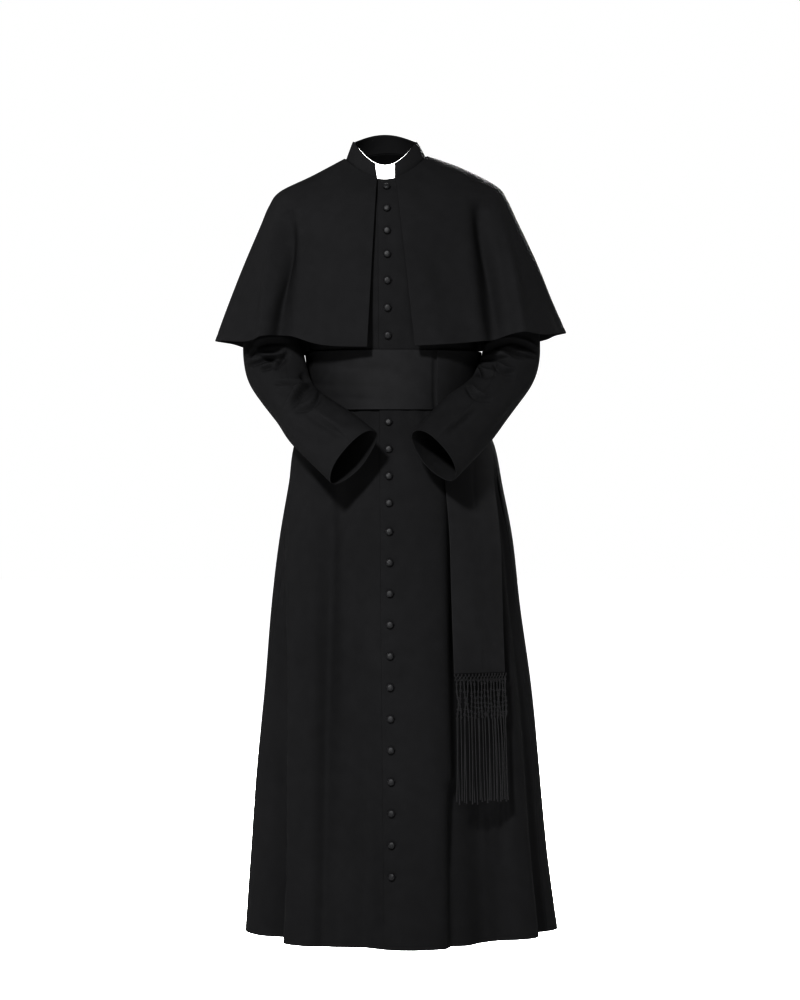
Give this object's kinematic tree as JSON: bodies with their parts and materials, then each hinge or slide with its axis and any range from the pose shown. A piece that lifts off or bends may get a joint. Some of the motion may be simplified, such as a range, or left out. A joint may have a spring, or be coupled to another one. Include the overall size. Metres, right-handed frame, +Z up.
{
  "type": "cassock",
  "caption": "Long buttoned cassock, worn and hollow, with an open shoulder cape, bent sleeves, a stand collar with a white tab and a waist sash with one fringed fall.",
  "frame": {"origin": "centre of the neck opening, level with the collar seam at the sides, where the garment rests on its wearer", "axes": "+Z up along the standing garment, -Y the way the wearer faces, +X to the wearer's left"},
  "size_m": [0.6649, 0.5387, 1.5182],
  "materials": {
    "wool": "matte black wool suiting, fine twill",
    "silk": "dull black silk-faced cloth with twisted fringe",
    "linen": "smooth white stiffened linen",
    "covered": "black cloth drawn over a round button"
  },
  "bodies": {
    "root": {"front_left": "wool", "front_right": "wool", "side_left": "wool", "side_right": "wool", "back_left": "wool", "back_right": "wool", "sleeve_left_top": "wool", "sleeve_left_under": "wool", "sleeve_right_top": "wool", "sleeve_right_under": "wool", "collar_stand": "wool", "cape_left": "wool", "cape_right": "wool", "collar_tab": "linen", "sash_band": "silk", "sash_fall": "silk", "sash_fringe": "silk", "button_01": "covered", "button_02": "covered", "button_03": "covered", "button_04": "covered", "button_05": "covered", "button_06": "covered", "button_07": "covered", "button_08": "covered", "button_09": "covered", "button_10": "covered", "button_11": "covered", "button_12": "covered", "button_13": "covered", "button_14": "covered", "button_15": "covered", "button_16": "covered", "button_17": "covered", "button_18": "covered", "button_19": "covered", "button_20": "covered", "button_21": "covered", "button_22": "covered", "button_23": "covered"}
  },
  "joints": []
}
